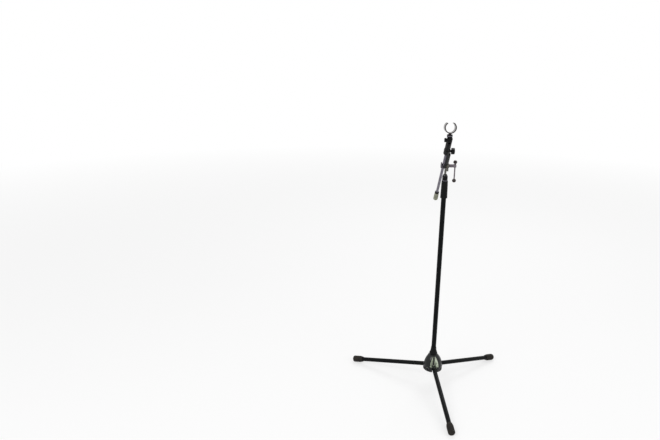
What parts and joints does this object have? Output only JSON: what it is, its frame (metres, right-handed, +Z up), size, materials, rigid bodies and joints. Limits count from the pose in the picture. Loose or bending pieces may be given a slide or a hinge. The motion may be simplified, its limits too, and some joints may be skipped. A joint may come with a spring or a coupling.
{
  "type": "boom microphone stand",
  "caption": "Tripod floor stand with a telescopic upright, a tilting telescopic boom and a microphone clip at its end.",
  "frame": {"origin": "on the floor, under the middle of the whole stand's box", "axes": "+Z up; the boom lies in a plane parallel to YZ with its clip end towards -Y; +X to the right as seen from the clip's side"},
  "size_m": [0.6384, 0.586, 1.11],
  "materials": {
    "powder_black": "black powder coat on steel tube, fine grain, satin",
    "cast_black": "black lacquer on die-cast zinc, semi-gloss",
    "steel": "zinc-plated steel, satin",
    "cast_metal": "bare cast metal, dull",
    "nickel": "nickel plate on steel tube, soft reflections",
    "chrome": "bright chrome plate",
    "brass": "machined brass",
    "rubber_black": "matt moulded rubber",
    "rubber_grey": "grey moulded rubber, matt",
    "fibre": "pressed fibre friction washer",
    "plastic_black": "moulded plastic, satin with a fine grain",
    "plastic_brown": "brownish-black moulded plastic, glossy"
  },
  "bodies": {
    "base": {"base_hub": "cast_black", "hub_collar": "plastic_black", "base_washer": "steel", "base_bolt": "steel", "leg_pin_front": "steel", "leg_pin_right": "steel", "leg_pin_left": "steel", "lower_tube": "powder_black", "tube_plug": "steel", "clutch_ferrule": "steel", "clutch_collet": "plastic_black"},
    "leg_front": {"leg_knuckle_front": "cast_black", "leg_tube_front": "powder_black", "leg_foot_front": "rubber_black"},
    "leg_right": {"leg_knuckle_right": "cast_black", "leg_tube_right": "powder_black", "leg_foot_right": "rubber_black"},
    "leg_left": {"leg_knuckle_left": "cast_black", "leg_tube_left": "powder_black", "leg_foot_left": "rubber_black"},
    "clutch": {"clutch_sleeve": "plastic_black", "clutch_ring": "nickel", "clutch_nose": "plastic_black"},
    "upright": {"upper_tube": "powder_black", "tube_bush": "plastic_black", "top_plug": "cast_black"},
    "swivel": {"swivel_body": "cast_metal", "friction_disc": "fibre", "t_bar_washer": "steel"},
    "bar_nut": {"t_bar_nut": "chrome"},
    "bar": {"t_bar_rod": "chrome", "t_bar_ball_top": "plastic_brown", "t_bar_ball_bottom": "plastic_brown"},
    "boom_clamp": {"eye_bolt": "steel", "boom_saddle": "cast_black"},
    "boom": {"boom_tube": "nickel", "boom_end_rim": "rubber_black", "boom_end_cap": "rubber_grey", "boom_collar": "plastic_black"},
    "thumb_screw": {"thumb_screw_stud": "steel", "thumb_screw_knob": "plastic_black"},
    "rod": {"boom_rod": "nickel", "rod_guide": "plastic_black", "clip_adaptor": "plastic_black", "adaptor_insert": "brass", "clip_pivot_screw": "steel"},
    "clip": {"clip_body": "plastic_black", "clip_ring": "nickel", "clip_cap": "plastic_black", "clip_spring": "plastic_brown"},
    "clip_lock": {"clip_knob": "plastic_black"}
  },
  "joints": [
    {"name": "leg_front_fold", "type": "hinge", "parent": "base", "child": "leg_front", "pos_m": [0.01982, 0.04437, 0.081], "axis": [-0.9951, -0.0993, 0], "range_deg": [0, 102]},
    {"name": "leg_right_fold", "type": "hinge", "parent": "base", "child": "leg_right", "pos_m": [0.03907, 0.08699, 0.081], "axis": [0.5835, -0.8121, 0], "range_deg": [0, 102]},
    {"name": "leg_left_fold", "type": "hinge", "parent": "base", "child": "leg_left", "pos_m": [-0.00747, 0.08235, 0.081], "axis": [0.4115, 0.9114, 0], "range_deg": [0, 102]},
    {"name": "clutch_turn", "type": "hinge", "parent": "base", "child": "clutch", "pos_m": [0.01714, 0.07124, 0.84], "axis": [0, 0, 1], "range_deg": [0, 120]},
    {"name": "height_slide", "type": "slide", "parent": "base", "child": "upright", "axis": [0, 0, 1], "range_m": [0, 0.7]},
    {"name": "head_pan", "type": "hinge", "parent": "upright", "child": "swivel", "pos_m": [0.01714, 0.07124, 0.9], "axis": [0, 0, 1], "continuous": true},
    {"name": "boom_tilt", "type": "hinge", "parent": "swivel", "child": "boom_clamp", "pos_m": [0.01714, 0.07124, 0.932], "axis": [-1, 0, 0], "range_deg": [-75, 20]},
    {"name": "bar_nut_turn", "type": "hinge", "parent": "swivel", "child": "bar_nut", "pos_m": [0.04214, 0.07124, 0.932], "axis": [1, 0, 0], "range_deg": [0, 270]},
    {"name": "bar_slide", "type": "slide", "parent": "bar_nut", "child": "bar", "axis": [0, 0, 1], "range_m": [0, 0.0424]},
    {"name": "boom_slide", "type": "slide", "parent": "boom_clamp", "child": "boom", "axis": [0, -0.7071, 0.7071], "range_m": [-0.003, 0.15]},
    {"name": "thumb_screw_turn", "type": "hinge", "parent": "boom", "child": "thumb_screw", "pos_m": [0.00814, 0.00335, 0.99988], "axis": [1, 0, 0], "range_deg": [0, 270]},
    {"name": "rod_slide", "type": "slide", "parent": "boom", "child": "rod", "axis": [0, -0.7071, 0.7071], "range_m": [0, 0.2]},
    {"name": "clip_tilt", "type": "hinge", "parent": "rod", "child": "clip", "pos_m": [0.00814, -0.04402, 1.04726], "axis": [-1, 0, 0], "range_deg": [-134, 36]},
    {"name": "clip_knob_turn", "type": "hinge", "parent": "rod", "child": "clip_lock", "pos_m": [0.00814, -0.04402, 1.04726], "axis": [-1, 0, 0], "range_deg": [0, 270]}
  ]
}
